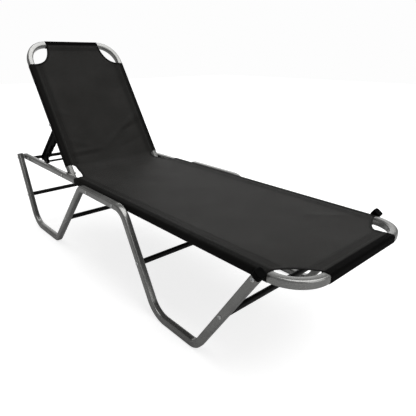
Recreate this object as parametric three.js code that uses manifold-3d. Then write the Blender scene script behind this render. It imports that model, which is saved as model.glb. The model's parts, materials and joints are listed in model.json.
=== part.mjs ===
// Reclining sun lounger, in millimetres, +Z up.
// +X runs towards the foot end, the head end is -X, and the origin is on the floor below the middle.
import * as THREE from 'three';
import { mergeVertices } from 'three/addons/utils/BufferGeometryUtils.js';
import Module from 'manifold-3d';

const wasm = await Module();
wasm.setup();

// ---- driving dimensions ----
const LENGTH = 1722;          // rear face of the legs to the outside of the foot end
const WIDTH = 590;            // outside of one leg to the outside of the other
const BED_TOP = 350;          // floor to the top of the side rails
const TUBE = 25;              // side of the rounded-square tube
const TUBE_CORNER = 6.5;      // radius of the tube's corners
const WALL = 1;                // tube wall
const FRAME_BEND = 92;        // bend radius of the foot end and the backrest's top, on the tube's centre line
const BAR = 19;               // diameter of the crossbars
const CLOTH = 1.2;            // thickness of the cloth
const GAP = 0.3;              // clearance between pieces that touch on the real object
const RAIL_TO_LEG = 3.5;      // room for the cloth between a rail and the leg beside it
const BACK_LENGTH = 642;      // hinge to the outside of the backrest's top
const BACK_ANGLE = 57;        // backrest above the level, in degrees
const BOLT = 6;               // bolt shank diameter
const HEAD_RADIUS = 6.2;      // domed bolt heads
const HEAD_HEIGHT = 3;
const NUT_RADIUS = 5.8;       // hexagon nuts, over the corners
const NUT_HEIGHT = 5;
const ARM_BAR = 16;           // diameter of the bar the arms rest on
const ARM_THICK = 12;         // thickness of an adjusting arm
const ROD = 10;               // diameter of the rod between the arms' lower ends
const HINGE_SPACE = 7.5;      // room between a rail and the backrest's tube beside it
const STUB = 20;              // how far the backrest's tubes run on below the hinge
const RAIL_SHORT = 4;         // how far the rails stop short of the legs' rear ends
const LEG_TOP_RISE = 2;       // how far the legs' rear and front ends stand above the rails
const LEG_TIP_RISE = 5;
const CHAMFER = 0.6;          // on turned ends

// Places along the length, as parts of LENGTH from the head end; heights as parts of BED_TOP.
const HINGE_AT = 0.2758;
const ARM_BAR_AT = 0.0424;
const LEG_AT = {
  top: 0.00739, rearFootBack: 0.0722, rearFootFront: 0.2210, railBack: 0.4042,
  railFront: 0.5846, frontFootBack: 0.6836, frontFootFront: 0.8033, tip: 0.9350,
};
const LEG_BEND = [90, 40, 45, 65, 85, 45];
const RAIL_BOLTS_AT = [0.4419, 0.5517];
const CROSSBAR_HEIGHTS = [0.4437, 0.4586, 0.4914, 0.502];
const BACK_PIVOT_AT = 0.3676;  // the arms' pivot, as a part of BACK_LENGTH

// ---- values that follow from them ----
const HALF_TUBE = TUBE / 2;
const SLEEVE = CLOTH + GAP;
const legY = WIDTH / 2 - HALF_TUBE;
const railY = legY - TUBE - RAIL_TO_LEG;
const railZ = BED_TOP - HALF_TUBE;
const footBarX = LENGTH / 2 - SLEEVE - HALF_TUBE;
const along = (part) => (part - 0.5) * LENGTH;
const hingeX = along(HINGE_AT);
const backY = railY - TUBE - HINGE_SPACE;
const backTop = BACK_LENGTH - SLEEVE - HALF_TUBE;
const backAngle = THREE.MathUtils.degToRad(BACK_ANGLE);
const armBar = new THREE.Vector2(along(ARM_BAR_AT), railZ);

// ---- small helpers ----
const vec = (x, y) => new THREE.Vector2(x, y);

function toManifold(geometry) {
  const bare = geometry.index ? geometry.toNonIndexed() : geometry.clone();
  bare.deleteAttribute('normal');
  bare.deleteAttribute('uv');
  const merged = mergeVertices(bare, 1e-4);
  return new wasm.Manifold(new wasm.Mesh({
    numProp: 3,
    vertProperties: new Float32Array(merged.attributes.position.array),
    triVerts: new Uint32Array(merged.index.array),
  }));
}

function fromManifold(solid) {
  const mesh = solid.getMesh();
  const geometry = new THREE.BufferGeometry();
  geometry.setAttribute('position', new THREE.BufferAttribute(new Float32Array(mesh.vertProperties), 3));
  geometry.setIndex(new THREE.BufferAttribute(new Uint32Array(mesh.triVerts), 1));
  return geometry;
}

function join(geometries) {
  return fromManifold(geometries.map(toManifold).reduce((all, next) => all.add(next)));
}

function cut(geometry, tools) {
  return fromManifold(tools.map(toManifold).reduce((all, next) => all.subtract(next), toManifold(geometry)));
}

// A rounded rectangle centred on the origin, as a shape or as a hole.
function roundedBox(width, height, radius, Kind = THREE.Shape, steps = 2) {
  const points = [];
  const corners = [[1, -1, -90], [1, 1, 0], [-1, 1, 90], [-1, -1, 180]];
  for (const [sx, sy, start] of corners) {
    for (let i = 0; i <= steps; i += 1) {
      const turn = THREE.MathUtils.degToRad(start + (90 * i) / steps);
      points.push(vec(
        sx * (width / 2 - radius) + radius * Math.cos(turn),
        sy * (height / 2 - radius) + radius * Math.sin(turn),
      ));
    }
  }
  return new Kind(points);
}

// A bevel that takes the edge off an extrusion without making it wider.
const edgeBevel = (size, segments) => ({
  bevelEnabled: true, bevelThickness: size, bevelSize: size, bevelOffset: -size, bevelSegments: segments,
});

function tubeSection() {
  const section = roundedBox(TUBE, TUBE, TUBE_CORNER);
  const bore = TUBE - 2 * WALL;
  section.holes.push(roundedBox(bore, bore, TUBE_CORNER - WALL, THREE.Path, 1));
  return section;
}

// A flat path of straights and round bends, sampled only where it turns.
class BentPath extends THREE.Curve {
  constructor(corners, bends, place, stepAngle = 11.5) {
    super();
    this.points = [];
    this.tangents = [];
    const add = (point, direction) => {
      this.points.push(place(point.x, point.y));
      const ahead = place(point.x + direction.x, point.y + direction.y);
      this.tangents.push(ahead.sub(place(point.x, point.y)).normalize());
    };
    const last = corners.length - 1;
    add(corners[0], corners[1].clone().sub(corners[0]).normalize());
    for (let i = 1; i < last; i += 1) {
      const into = corners[i].clone().sub(corners[i - 1]).normalize();
      const out = corners[i + 1].clone().sub(corners[i]).normalize();
      const turn = Math.atan2(into.cross(out), into.dot(out));
      const side = Math.sign(turn);
      const setback = bends[i - 1] * Math.tan(Math.abs(turn) / 2);
      const start = corners[i].clone().addScaledVector(into, -setback);
      const centre = start.clone().add(vec(-into.y, into.x).multiplyScalar(side * bends[i - 1]));
      const steps = Math.max(3, Math.ceil(THREE.MathUtils.radToDeg(Math.abs(turn)) / stepAngle));
      for (let k = 0; k <= steps; k += 1) {
        const angle = (turn * k) / steps;
        add(start.clone().rotateAround(centre, angle), into.clone().rotateAround(vec(0, 0), angle));
      }
    }
    add(corners[last], corners[last].clone().sub(corners[last - 1]).normalize());
  }

  get steps() { return this.points.length - 1; }

  getPointAt(u) { return this.points[Math.round(u * this.steps)].clone(); }

  getPoint(t) { return this.getPointAt(t); }

  getTangentAt(u) { return this.tangents[Math.round(u * this.steps)].clone(); }

  getTangent(t) { return this.getTangentAt(t); }
}

function bentTube(path, section = tubeSection()) {
  return new THREE.ExtrudeGeometry(section, { steps: path.steps, extrudePath: path, curveSegments: 1 });
}

// A rod along Y between two places.
function rodY(x, z, y0, y1, radius, sides) {
  const rod = new THREE.CylinderGeometry(radius, radius, Math.abs(y1 - y0), sides);
  return rod.translate(x, (y0 + y1) / 2, z);
}

// A turned piece whose axis runs along Y: profile points are (radius, y).
function turnedY(profile, x, z, sides = 16) {
  return new THREE.LatheGeometry(profile.map(([r, y]) => vec(r, y)), sides).translate(x, 0, z);
}

// Where a point of the backrest, `up` from the hinge and `out` of the lying side, sits in the side view.
function onBackrest(up, out = 0) {
  return vec(
    hingeX - up * Math.cos(backAngle) + out * Math.sin(backAngle),
    railZ + up * Math.sin(backAngle) + out * Math.cos(backAngle),
  );
}

// Moves a symmetric piece drawn flat, up along X and its lying side up, to the backrest's place.
function toBackrest(geometry) {
  const place = new THREE.Matrix4().makeBasis(
    new THREE.Vector3(-Math.cos(backAngle), 0, Math.sin(backAngle)),
    new THREE.Vector3(0, -1, 0),
    new THREE.Vector3(Math.sin(backAngle), 0, Math.cos(backAngle)),
  );
  return geometry.applyMatrix4(place.setPosition(hingeX, 0, railZ));
}

// ---- the frame ----
const railRear = -LENGTH / 2 + RAIL_SHORT;
const boltHole = (x, z, y0, y1) => rodY(x, z, y0, y1, BOLT / 2 + GAP, 10);

function legPoint(name, height) {
  return vec(along(LEG_AT[name]), height);
}

const legCorners = [
  legPoint('top', BED_TOP + LEG_TOP_RISE), legPoint('rearFootBack', HALF_TUBE), legPoint('rearFootFront', HALF_TUBE),
  legPoint('railBack', railZ), legPoint('railFront', railZ), legPoint('frontFootBack', HALF_TUBE),
  legPoint('frontFootFront', HALF_TUBE), legPoint('tip', BED_TOP + LEG_TIP_RISE),
];

// The point of a straight stretch of the leg at a given height.
function legAtHeight(corner, height) {
  const a = legCorners[corner];
  const b = legCorners[corner + 1];
  return vec(a.x + ((b.x - a.x) * (height - a.y)) / (b.y - a.y), height);
}

const CROSSBAR_STRETCH = [0, 2, 4, 6];
const crossbarPlaces = CROSSBAR_STRETCH.map((corner, i) => legAtHeight(corner, CROSSBAR_HEIGHTS[i] * BED_TOP));
const legBoltPlaces = [
  legAtHeight(0, railZ), ...RAIL_BOLTS_AT.map((part) => vec(along(part), railZ)), legAtHeight(6, railZ),
];
const BACK_PIVOT_UP = BACK_PIVOT_AT * BACK_LENGTH;
const BACK_PIVOT_OUT = -4;     // the pivot sits this far to the rear of the tube's centre line
const pivot = onBackrest(BACK_PIVOT_UP, BACK_PIVOT_OUT);
const hinge = vec(hingeX, railZ);

function mainFrame() {
  const corners = [
    vec(railRear, railY), vec(footBarX, railY), vec(footBarX, -railY), vec(railRear, -railY),
  ];
  const path = new BentPath(corners, [FRAME_BEND, FRAME_BEND], (x, y) => new THREE.Vector3(x, y, railZ));
  const holes = [...legBoltPlaces, hinge, armBar].flatMap((p) => [-1, 1].map(
    (side) => boltHole(p.x, p.y, side * (railY - TUBE), side * (railY + TUBE)),
  ));
  return cut(bentTube(path), holes);
}

function leg(side) {
  const path = new BentPath(legCorners, LEG_BEND, (x, z) => new THREE.Vector3(x, side * legY, z));
  const holes = [...legBoltPlaces, ...crossbarPlaces].map(
    (p) => boltHole(p.x, p.y, side * (legY - TUBE), side * (legY + TUBE)),
  );
  return cut(bentTube(path), holes);
}

// A plug for an open tube end: a lid with a spigot that goes into the bore.
const PLUG_LID = 1.6;
const PLUG_EDGE = 0.8;
const SPIGOT = 8;
const OVERLAP = 1;            // how deep joined solids run into each other

// Drawn for a tube that ends at height 0.
function plug() {
  const lid = new THREE.ExtrudeGeometry(
    roundedBox(TUBE, TUBE, TUBE_CORNER),
    { depth: PLUG_LID, ...edgeBevel(PLUG_EDGE, 1) },
  ).translate(0, 0, GAP + PLUG_EDGE);
  const inside = TUBE - 2 * WALL - 2 * GAP;
  const spigot = new THREE.ExtrudeGeometry(
    roundedBox(inside, inside, TUBE_CORNER - WALL, THREE.Shape, 1),
    { depth: SPIGOT + GAP + OVERLAP, bevelEnabled: false },
  ).translate(0, 0, -SPIGOT);
  return join([lid, spigot]);
}

// Stands a plug drawn along +Z on the end of a tube that points along `direction` in the side view.
function plugAt(geometry, end, direction, y) {
  const angle = Math.atan2(direction.x, direction.y);
  return geometry.rotateY(angle).translate(end.x, y, end.y);
}

function railPlug(side) {
  return plugAt(plug(), vec(railRear, railZ), vec(-1, 0), side * railY);
}

function legTopPlug(side) {
  const direction = legCorners[0].clone().sub(legCorners[1]).normalize();
  return plugAt(plug(), legCorners[0], direction, side * legY);
}

const CAP_WALL = 1;
const CAP_SLACK = 0.2;
const CAP_COLLAR = 14;
const CAP_LID = 2.6;
const CAP_EDGE = 1.4;

// A cap that slips over the leg's tip, drawn for a tube that ends at height 0.
function legCap(side) {
  const outer = TUBE + 2 * (CAP_WALL + CAP_SLACK);
  const outline = roundedBox(outer, outer, TUBE_CORNER + CAP_WALL);
  const collar = new THREE.ExtrudeGeometry(
    outline,
    { depth: CAP_COLLAR + CAP_EDGE + OVERLAP, bevelEnabled: false },
  ).translate(0, 0, -CAP_COLLAR);
  const lid = new THREE.ExtrudeGeometry(
    outline,
    { depth: CAP_LID, ...edgeBevel(CAP_EDGE, 2) },
  ).translate(0, 0, CAP_EDGE);
  const socket = new THREE.ExtrudeGeometry(
    roundedBox(TUBE + 2 * CAP_SLACK, TUBE + 2 * CAP_SLACK, TUBE_CORNER + CAP_SLACK),
    { depth: 2 * CAP_COLLAR, bevelEnabled: false },
  ).translate(0, 0, GAP - 2 * CAP_COLLAR);
  const direction = legCorners[7].clone().sub(legCorners[6]).normalize();
  return plugAt(cut(join([collar, lid]), [socket]), legCorners[7], direction, side * legY);
}

const BAR_END = 10;           // solid end of a crossbar
const SCREW_PAST_FACE = 9;    // how far a screw runs into a bar

// A bar along Y with closed ends, each with a hole for its screw.
function barBetween(place, halfSpan, diameter) {
  const r = diameter / 2;
  const hole = BOLT / 2 + GAP;
  const bore = halfSpan - BAR_END;
  return turnedY([
    [hole, -halfSpan], [r - CHAMFER, -halfSpan], [r, -halfSpan + CHAMFER],
    [r, halfSpan - CHAMFER], [r - CHAMFER, halfSpan], [hole, halfSpan],
    [hole, bore], [r - WALL, bore], [r - WALL, -bore], [hole, -bore], [hole, -halfSpan],
  ], place.x, place.y);
}

const crossbar = (index) => barBetween(crossbarPlaces[index], legY - HALF_TUBE - GAP, BAR);
const armSupportBar = () => barBetween(armBar, railY - HALF_TUBE - GAP, ARM_BAR);

// A domed-head bolt along Y from outside face `outer` to `tip`, with a hexagon nut at `nutAt` if given.
function bolt(place, outer, tip, side, nutAt = null) {
  const r = BOLT / 2;
  const seat = outer + GAP;
  const profile = [[0, tip], [r - CHAMFER, tip], [r, tip + CHAMFER], [r, seat], [HEAD_RADIUS, seat]];
  const domeSteps = 3;
  for (let i = 0; i <= domeSteps; i += 1) {
    const turn = (i / domeSteps) * (Math.PI / 2);
    const radius = i === domeSteps ? 0 : HEAD_RADIUS * Math.cos(turn);
    profile.push([radius, seat + CHAMFER + (HEAD_HEIGHT - CHAMFER) * Math.sin(turn)]);
  }
  let solid = turnedY(profile, place.x, place.y, 10);
  if (nutAt !== null) {
    solid = join([solid, rodY(place.x, place.y, nutAt, nutAt - NUT_HEIGHT, NUT_RADIUS, 6)]);
  }
  return side > 0 ? solid : flipped(solid);
}

// The mirror image across the middle plane, still facing outwards.
function flipped(geometry) {
  const mirrored = geometry.clone().scale(1, -1, 1);
  const bare = mirrored.index ? mirrored.toNonIndexed() : mirrored;
  const p = bare.attributes.position;
  for (let i = 0; i < p.count; i += 3) {
    const second = [p.getX(i + 1), p.getY(i + 1), p.getZ(i + 1)];
    p.setXYZ(i + 1, p.getX(i + 2), p.getY(i + 2), p.getZ(i + 2));
    p.setXYZ(i + 2, ...second);
  }
  bare.deleteAttribute('normal');
  bare.deleteAttribute('uv');
  return mergeVertices(bare, 1e-4);
}

// A bolt right through, from outside face `outer` to a nut on inside face `inner`.
const TIP_PAST_NUT = 2;
function throughBolt(place, outer, inner, side) {
  const nutAt = inner - GAP;
  return bolt(place, outer, nutAt - NUT_HEIGHT - TIP_PAST_NUT, side, nutAt);
}

const insideRail = railY - HALF_TUBE;
const insideBack = backY - HALF_TUBE;
const legBolt = (place, side) => throughBolt(place, legY + HALF_TUBE, insideRail - SLEEVE, side);
const crossbarScrew = (place, side) => bolt(
  place, legY + HALF_TUBE, legY - HALF_TUBE - SCREW_PAST_FACE, side,
);
const armBarScrew = (side) => bolt(armBar, railY + HALF_TUBE, insideRail - SCREW_PAST_FACE, side);
const hingeBolt = (side) => throughBolt(hinge, railY + HALF_TUBE, insideBack, side);

const SPACER_RADIUS = 9;
function hingeSpacer(side) {
  const hole = BOLT / 2 + GAP;
  const outer = insideRail - GAP;
  const inner = backY + HALF_TUBE + GAP;
  const ring = turnedY([
    [hole, inner], [SPACER_RADIUS, inner], [SPACER_RADIUS, outer], [hole, outer], [hole, inner],
  ], hinge.x, hinge.y);
  return side > 0 ? ring : flipped(ring);
}

// ---- the backrest ----
function backFrame() {
  const corners = [vec(-STUB, backY), vec(backTop, backY), vec(backTop, -backY), vec(-STUB, -backY)];
  const path = new BentPath(corners, [FRAME_BEND, FRAME_BEND], (up, y) => {
    const p = onBackrest(up);
    return new THREE.Vector3(p.x, y, p.y);
  });
  const holes = [hinge, pivot].flatMap((p) => [-1, 1].map(
    (side) => boltHole(p.x, p.y, side * (backY - TUBE), side * (backY + TUBE)),
  ));
  return cut(bentTube(path), holes);
}

function backPlug(side) {
  const end = onBackrest(-STUB);
  const down = end.clone().sub(hinge).normalize();
  return plugAt(plug(), end, down, side * backY);
}

const ARM_SPACE = 2;          // room between an arm and the cloth beside it
const armOutside = insideBack - SLEEVE - ARM_SPACE;
const pivotBolt = (side) => throughBolt(
  pivot, backY + HALF_TUBE + SLEEVE, armOutside - ARM_THICK, side,
);

// ---- the cloth ----
// The closed band of cloth round a tube, drawn across the tube.
function sleeveSection() {
  const outer = TUBE + 2 * SLEEVE;
  const inner = TUBE + 2 * GAP;
  const section = roundedBox(outer, outer, TUBE_CORNER + SLEEVE);
  section.holes.push(roundedBox(inner, inner, TUBE_CORNER + GAP, THREE.Path));
  return section;
}

// A sleeve along X from x0 to x1, on a tube whose centre is at y, with the tube's centre at height 0.
function sleeveAlongX(x0, x1, y) {
  const band = new THREE.ExtrudeGeometry(sleeveSection(), { depth: x1 - x0, bevelEnabled: false });
  return band.rotateY(Math.PI / 2).translate(x0, y, 0);
}

function sleeveAlongY(y0, y1, x) {
  const band = new THREE.ExtrudeGeometry(sleeveSection(), { depth: y1 - y0, bevelEnabled: false });
  return band.rotateX(-Math.PI / 2).translate(x, y0, 0);
}

// The flat sheet between the sleeves, from half of its outline.
function panel(halfOutline) {
  const far = halfOutline.map(([x, y]) => vec(x, y));
  const near = halfOutline.map(([x, y]) => vec(x, -y)).reverse();
  const sheet = new THREE.ExtrudeGeometry(new THREE.Shape([...near, ...far]), { depth: CLOTH, bevelEnabled: false });
  return sheet.translate(0, 0, HALF_TUBE + GAP);
}

// Points of a hollow curve between two places, pulled towards `towards`.
function scoop(from, to, towards, steps = 7) {
  const curve = new THREE.QuadraticBezierCurve(vec(...from), vec(...towards), vec(...to));
  return curve.getPoints(steps).map((p) => [p.x, p.y]);
}

const EDGE_STRAIGHT = 12;     // a cut-out's edge runs straight across the tube before it curves
const SEAT_EDGE = 11;         // from the hinge to the middle of the seat's rear edge
const SEAT_SLEEVE = 122;      // from the hinge to the rear ends of the seat's sleeves
const SEAT_CUT = 42;          // how far the cut-outs at the hinge go in from the rails' centres
const FOOT_PULL = [22, 34];   // how far the foot cut-outs' curves are pulled in from the square corner
const SEAT_PULL = [92, 14];

function seatCloth() {
  const flatY = railY + HALF_TUBE - TUBE_CORNER;
  const flatX = footBarX + HALF_TUBE - TUBE_CORNER;
  const sideEnd = footBarX - FRAME_BEND;
  const footEnd = railY - FRAME_BEND;
  const rear = hingeX + SEAT_EDGE;
  const sleeveRear = hingeX + SEAT_SLEEVE;
  const cutY = railY - SEAT_CUT;
  const outline = [
    [flatX, footEnd],
    ...scoop(
      [flatX - EDGE_STRAIGHT, footEnd],
      [sideEnd, flatY - EDGE_STRAIGHT],
      [sideEnd + FOOT_PULL[0], footEnd + FOOT_PULL[1]],
    ),
    [sideEnd, flatY],
    [sleeveRear, flatY],
    ...scoop([sleeveRear, flatY - 2 * EDGE_STRAIGHT], [rear, cutY], [rear + SEAT_PULL[0], cutY + SEAT_PULL[1]]),
  ];
  const cloth = join([
    panel(outline),
    sleeveAlongX(sleeveRear, sideEnd, railY),
    sleeveAlongX(sleeveRear, sideEnd, -railY),
    sleeveAlongY(-footEnd, footEnd, footBarX),
  ]).translate(0, 0, railZ);
  return cut(cloth, legBoltPlaces.slice(1).flatMap((p) => [-1, 1].map(
    (side) => boltHole(p.x, p.y, side * (railY - TUBE), side * (railY + TUBE)),
  )));
}

const BACK_EDGE = 11;         // from the hinge to the middle of the backrest cloth's lower edge
const BACK_SLEEVE = 33;       // from the hinge to the lower ends of the backrest's sleeves
const BACK_CUT = 22;          // how far its lower cut-outs go in from the tubes' centres
const SLEEVE_SHORT = 13;      // how far its sleeves stop short of the bends
const BACK_PULL = [14, 0];
const TOP_PULL = [2, 10];
const TOP_RUN = 34;           // where the top cut-outs' curves begin, in from the top edge

// Drawn lying flat behind the hinge, then turned up to the backrest's angle.
function backCloth() {
  const flatY = backY + HALF_TUBE - TUBE_CORNER;
  const flatTop = backTop + HALF_TUBE - TUBE_CORNER;
  const sideEnd = backTop - FRAME_BEND - SLEEVE_SHORT;
  const topEnd = backY - FRAME_BEND;
  const cutY = backY - BACK_CUT;
  const outline = [
    [BACK_EDGE, cutY],
    ...scoop([BACK_EDGE + 4, cutY + 6], [BACK_SLEEVE, flatY - 2 * EDGE_STRAIGHT],
      [BACK_EDGE + BACK_PULL[0], cutY + BACK_PULL[1]]),
    [BACK_SLEEVE, flatY],
    [sideEnd, flatY],
    ...scoop([sideEnd, flatY - 2 * EDGE_STRAIGHT], [flatTop - TOP_RUN, topEnd],
      [sideEnd + TOP_PULL[0], topEnd + TOP_PULL[1]]),
    [flatTop, topEnd],
  ];
  const cloth = join([
    panel(outline),
    sleeveAlongX(BACK_SLEEVE, sideEnd, backY),
    sleeveAlongX(BACK_SLEEVE, sideEnd, -backY),
    sleeveAlongY(-topEnd, topEnd, backTop),
  ]);
  const holes = [-1, 1].map((side) => boltHole(
    BACK_PIVOT_UP, BACK_PIVOT_OUT, side * (backY - TUBE), side * (backY + TUBE),
  ));
  return toBackrest(cut(cloth, holes));
}

// ---- the adjusting arms ----
const ARM_SEAT = ARM_BAR / 2 + 0.4;           // radius of the hollow in the arm's end that meets the bar
const ARM_BAR_BEHIND = 18.6;                  // the bar's centre behind the line from the pivot
const EYE = 11.5;                             // radius round the pivot
const ARM_BACK = -14.5;                       // straight rear edge, in front of that line
const ARM_FRONT = 35;                         // tips of the teeth
const TOOTH_EDGE = 1.5;                       // bevel on the teeth
const NOTCH_R = 9;
const NOTCH_DEEP = 31;                        // centres of the notches in front of the line
const NOTCH_PLACES = [0.714, 0.583, 0.464];   // as parts of the arm's length, from the lower end up
const SHOULDER_AT = 0.36;
const NECK = 27;                              // front of the neck above the lug
const BACK_STARTS = 60;
const LUG = 10.5;                             // radius of the lug round the rod
const ROD_AT = 0.842;
const ROD_FRONT = 38;

const toBar = armBar.clone().sub(pivot);
const armReach = Math.sqrt(toBar.lengthSq() - ARM_BAR_BEHIND ** 2);
const armAngle = Math.atan2(toBar.y, toBar.x) + Math.asin(ARM_BAR_BEHIND / toBar.length());
const armDown = vec(Math.cos(armAngle), Math.sin(armAngle));
const armForward = vec(-armDown.y, armDown.x);
const onArm = (t, p) => pivot.clone().addScaledVector(armDown, t).addScaledVector(armForward, p);
const rodPlace = onArm(armReach * ROD_AT, ROD_FRONT);

// Points of an arc about (t, p), angles in degrees.
function arc(t, p, radius, from, to, steps) {
  return Array.from({ length: steps + 1 }, (_, i) => {
    const turn = THREE.MathUtils.degToRad(from + ((to - from) * i) / steps);
    return vec(t + radius * Math.cos(turn), p + radius * Math.sin(turn));
  });
}

// The arm's side view: t runs down from the pivot and p towards the front.
function armOutline() {
  const seatIn = THREE.MathUtils.radToDeg(Math.asin((ARM_BAR_BEHIND + ARM_BACK) / ARM_SEAT));
  const rodT = armReach * ROD_AT;
  const teeth = NOTCH_PLACES.flatMap((part) => {
    const t = armReach * part;
    return [
      vec(t + NOTCH_R, ARM_FRONT - TOOTH_EDGE),
      ...arc(t, NOTCH_DEEP, NOTCH_R, 0, -180, 8),
      vec(t - NOTCH_R, ARM_FRONT - TOOTH_EDGE),
      vec(t - NOTCH_R - TOOTH_EDGE, ARM_FRONT),
    ];
  });
  return [
    ...arc(0, 0, EYE, 95, 262, 12),
    vec(BACK_STARTS, ARM_BACK),
    ...arc(armReach, -ARM_BAR_BEHIND, ARM_SEAT, 180 - seatIn, 106, 7),
    ...arc(rodT, ROD_FRONT, LUG, 38, 180, 9),
    vec(rodT - LUG - 2 * TOOTH_EDGE, NECK),
    ...teeth,
    vec(armReach * SHOULDER_AT, ARM_FRONT),
  ];
}

function arm(side) {
  const shape = new THREE.Shape(armOutline());
  const plate = new THREE.ExtrudeGeometry(shape, { depth: ARM_THICK, bevelEnabled: false });
  const basis = new THREE.Matrix4().makeBasis(
    new THREE.Vector3(armDown.x, 0, armDown.y),
    new THREE.Vector3(armForward.x, 0, armForward.y),
    new THREE.Vector3(0, -1, 0),
  );
  const middle = side * (armOutside - ARM_THICK / 2);
  const solid = plate.translate(0, 0, -ARM_THICK / 2).applyMatrix4(basis)
    .translate(pivot.x, middle, pivot.y);
  return cut(solid, [
    boltHole(pivot.x, pivot.y, middle - ARM_THICK, middle + ARM_THICK),
    rodY(rodPlace.x, rodPlace.y, middle - ARM_THICK, middle + ARM_THICK, ROD / 2 + GAP, 16),
  ]);
}

function armRod() {
  const half = armOutside;
  const r = ROD / 2;
  return turnedY([
    [0, -half], [r - CHAMFER, -half], [r, -half + CHAMFER],
    [r, half - CHAMFER], [r - CHAMFER, half], [0, half],
  ], rodPlace.x, rodPlace.y);
}

// ---- materials ----
const material = (color, roughness, metalness) => new THREE.MeshStandardMaterial({ color, roughness, metalness });
const silverPaint = () => material(0x8f9291, 0.35, 0.6);
const blackPaint = () => material(0x1b1b1b, 0.45, 0.2);
const zinc = () => material(0xb9bbbd, 0.3, 0.9);
const blackPlastic = () => material(0x161616, 0.55, 0);
const greyPlastic = () => material(0x5d6060, 0.55, 0);
const clothFinish = () => material(0x2f2f2e, 0.9, 0);

// ---- assembly ----
const lounger = new THREE.Group();
lounger.name = 'sun_lounger';

function addPart(name, geometry, finish) {
  const bare = geometry.index ? geometry.toNonIndexed() : geometry;
  bare.deleteAttribute('uv');
  bare.computeVertexNormals();
  const mesh = new THREE.Mesh(bare, finish);
  mesh.name = name;
  lounger.add(mesh);
}

const SIDES = [['left', 1], ['right', -1]];

addPart('main_frame', mainFrame(), silverPaint());
addPart('back_frame', backFrame(), silverPaint());
addPart('seat_cloth', seatCloth(), clothFinish());
addPart('back_cloth', backCloth(), clothFinish());
addPart('arm_support_bar', armSupportBar(), blackPaint());
addPart('arm_rod', armRod(), blackPaint());
['head', 'rear', 'middle', 'foot'].forEach((name, i) => addPart(`crossbar_${name}`, crossbar(i), blackPaint()));

SIDES.forEach(([name, side]) => {
  addPart(`leg_${name}`, leg(side), silverPaint());
  addPart(`leg_top_plug_${name}`, legTopPlug(side), greyPlastic());
  addPart(`leg_cap_${name}`, legCap(side), blackPlastic());
  addPart(`rail_plug_${name}`, railPlug(side), greyPlastic());
  addPart(`back_plug_${name}`, backPlug(side), greyPlastic());
  addPart(`arm_${name}`, arm(side), blackPlastic());
  addPart(`pivot_bolt_${name}`, pivotBolt(side), zinc());
  addPart(`hinge_bolt_${name}`, hingeBolt(side), zinc());
  addPart(`hinge_spacer_${name}`, hingeSpacer(side), blackPlastic());
  addPart(`arm_bar_screw_${name}`, armBarScrew(side), zinc());
  legBoltPlaces.forEach((place, i) => addPart(`leg_bolt_${i + 1}_${name}`, legBolt(place, side), zinc()));
  crossbarPlaces.forEach((place, i) => {
    addPart(`crossbar_screw_${i + 1}_${name}`, crossbarScrew(place, side), zinc());
  });
});

export default lounger;
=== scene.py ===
# %% [markdown]
# # A reclining sun lounger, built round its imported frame
# A garden lounger is a few bent steel tubes, one long piece of coated mesh cloth and a pair of notched arms.
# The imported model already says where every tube, bolt and bar is. This lesson dresses it: smooth tubes, real
# screws, sewn cloth and finishes with the small irregularities that paint, plating and weave have.

# %% Load the frame
import json
import math

import bmesh
import bpy
from mathutils import Matrix, Vector, noise


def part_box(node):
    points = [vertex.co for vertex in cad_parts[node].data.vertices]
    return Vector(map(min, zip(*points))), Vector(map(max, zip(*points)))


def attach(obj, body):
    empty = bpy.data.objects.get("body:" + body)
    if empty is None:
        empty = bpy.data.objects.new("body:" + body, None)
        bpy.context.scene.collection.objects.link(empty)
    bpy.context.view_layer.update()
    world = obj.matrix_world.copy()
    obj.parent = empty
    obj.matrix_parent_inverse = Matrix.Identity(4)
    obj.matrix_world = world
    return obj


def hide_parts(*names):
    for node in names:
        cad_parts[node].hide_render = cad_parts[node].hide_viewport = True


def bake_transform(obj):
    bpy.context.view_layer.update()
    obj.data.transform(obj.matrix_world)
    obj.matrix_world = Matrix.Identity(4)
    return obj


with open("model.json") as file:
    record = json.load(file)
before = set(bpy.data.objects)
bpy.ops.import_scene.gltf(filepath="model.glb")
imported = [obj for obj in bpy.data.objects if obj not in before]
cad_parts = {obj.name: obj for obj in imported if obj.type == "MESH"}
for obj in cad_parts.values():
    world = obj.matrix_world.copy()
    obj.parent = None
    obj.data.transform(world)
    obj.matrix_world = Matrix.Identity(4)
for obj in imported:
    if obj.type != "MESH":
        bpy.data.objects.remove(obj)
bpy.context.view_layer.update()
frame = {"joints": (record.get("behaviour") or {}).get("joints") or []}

# %% [markdown]
# ## Camera
# The camera stands at the foot end, a little to the right of the lounger and at about chest height of
# someone sitting. The lens is a mild wide angle, so the foot end looks large and the head end recedes.

# %% Camera
AZIMUTH = math.radians(47.94)
LOOKING_DOWN = math.radians(20.96)
camera = bpy.data.objects.new("camera", bpy.data.cameras.new("camera"))
camera.data.lens = 34.52
camera.data.sensor_width = 36
camera.location = (1.2616, -0.9053, 0.8202)
looking = Vector((
    -math.sin(AZIMUTH) * math.cos(LOOKING_DOWN),
    math.cos(AZIMUTH) * math.cos(LOOKING_DOWN),
    -math.sin(LOOKING_DOWN),
))
camera.rotation_euler = looking.to_track_quat("-Z", "Y").to_euler()
bpy.context.scene.collection.objects.link(camera)
bpy.context.scene.camera = camera
print("camera looks along", [round(x, 3) for x in looking])

# %% [markdown]
# ## Sizes
# Most places come from the imported nodes' boxes and joints, so a piece lands where the frame is. Sizes that a
# box can't tell, such as the corner radii, the backrest's tilt and length and the legs' corners, are written
# out.

# %% Sizes from the frame, in metres
MM = 0.001
TUBE = 25 * MM
CORNER = 6.5 * MM
HALF = TUBE / 2
GAP = 0.3 * MM
FRAME_BEND = 92 * MM
BOLT = 6 * MM

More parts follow.
